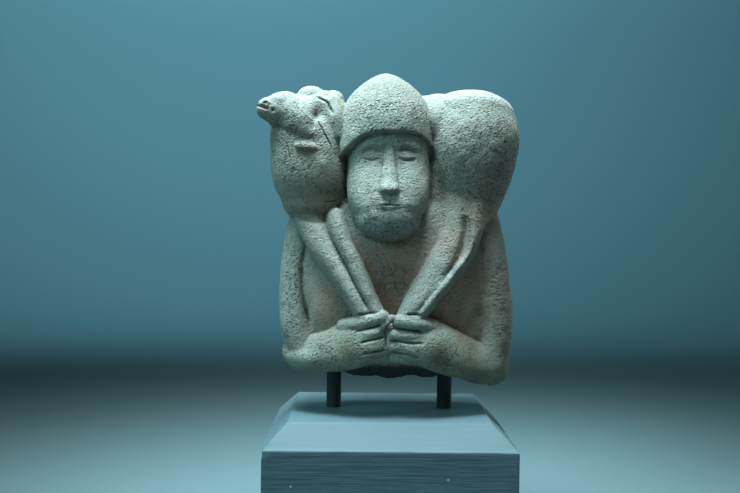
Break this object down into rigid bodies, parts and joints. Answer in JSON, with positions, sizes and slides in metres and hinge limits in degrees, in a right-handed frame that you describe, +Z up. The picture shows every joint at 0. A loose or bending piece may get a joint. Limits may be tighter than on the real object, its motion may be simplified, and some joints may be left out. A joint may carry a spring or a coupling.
{
  "type": "ram-bearer statue",
  "caption": "Worn limestone half-length figure in a pointed cap, carrying a ram across its shoulders, held on two round pins above a chamfered painted block.",
  "frame": {"origin": "centre of the block's underside", "axes": "+Z up, -Y towards the viewer that the figure faces, +X to that viewer's right"},
  "size_m": [0.2818, 0.208, 0.5009],
  "materials": {
    "limestone": "worn, pitted, matt",
    "dark_steel": "dark, satin",
    "painted_wood": "brushed matt paint"
  },
  "bodies": {
    "root": {"statue": "limestone", "pin_left": "dark_steel", "pin_right": "dark_steel", "base_block": "painted_wood"}
  },
  "joints": []
}
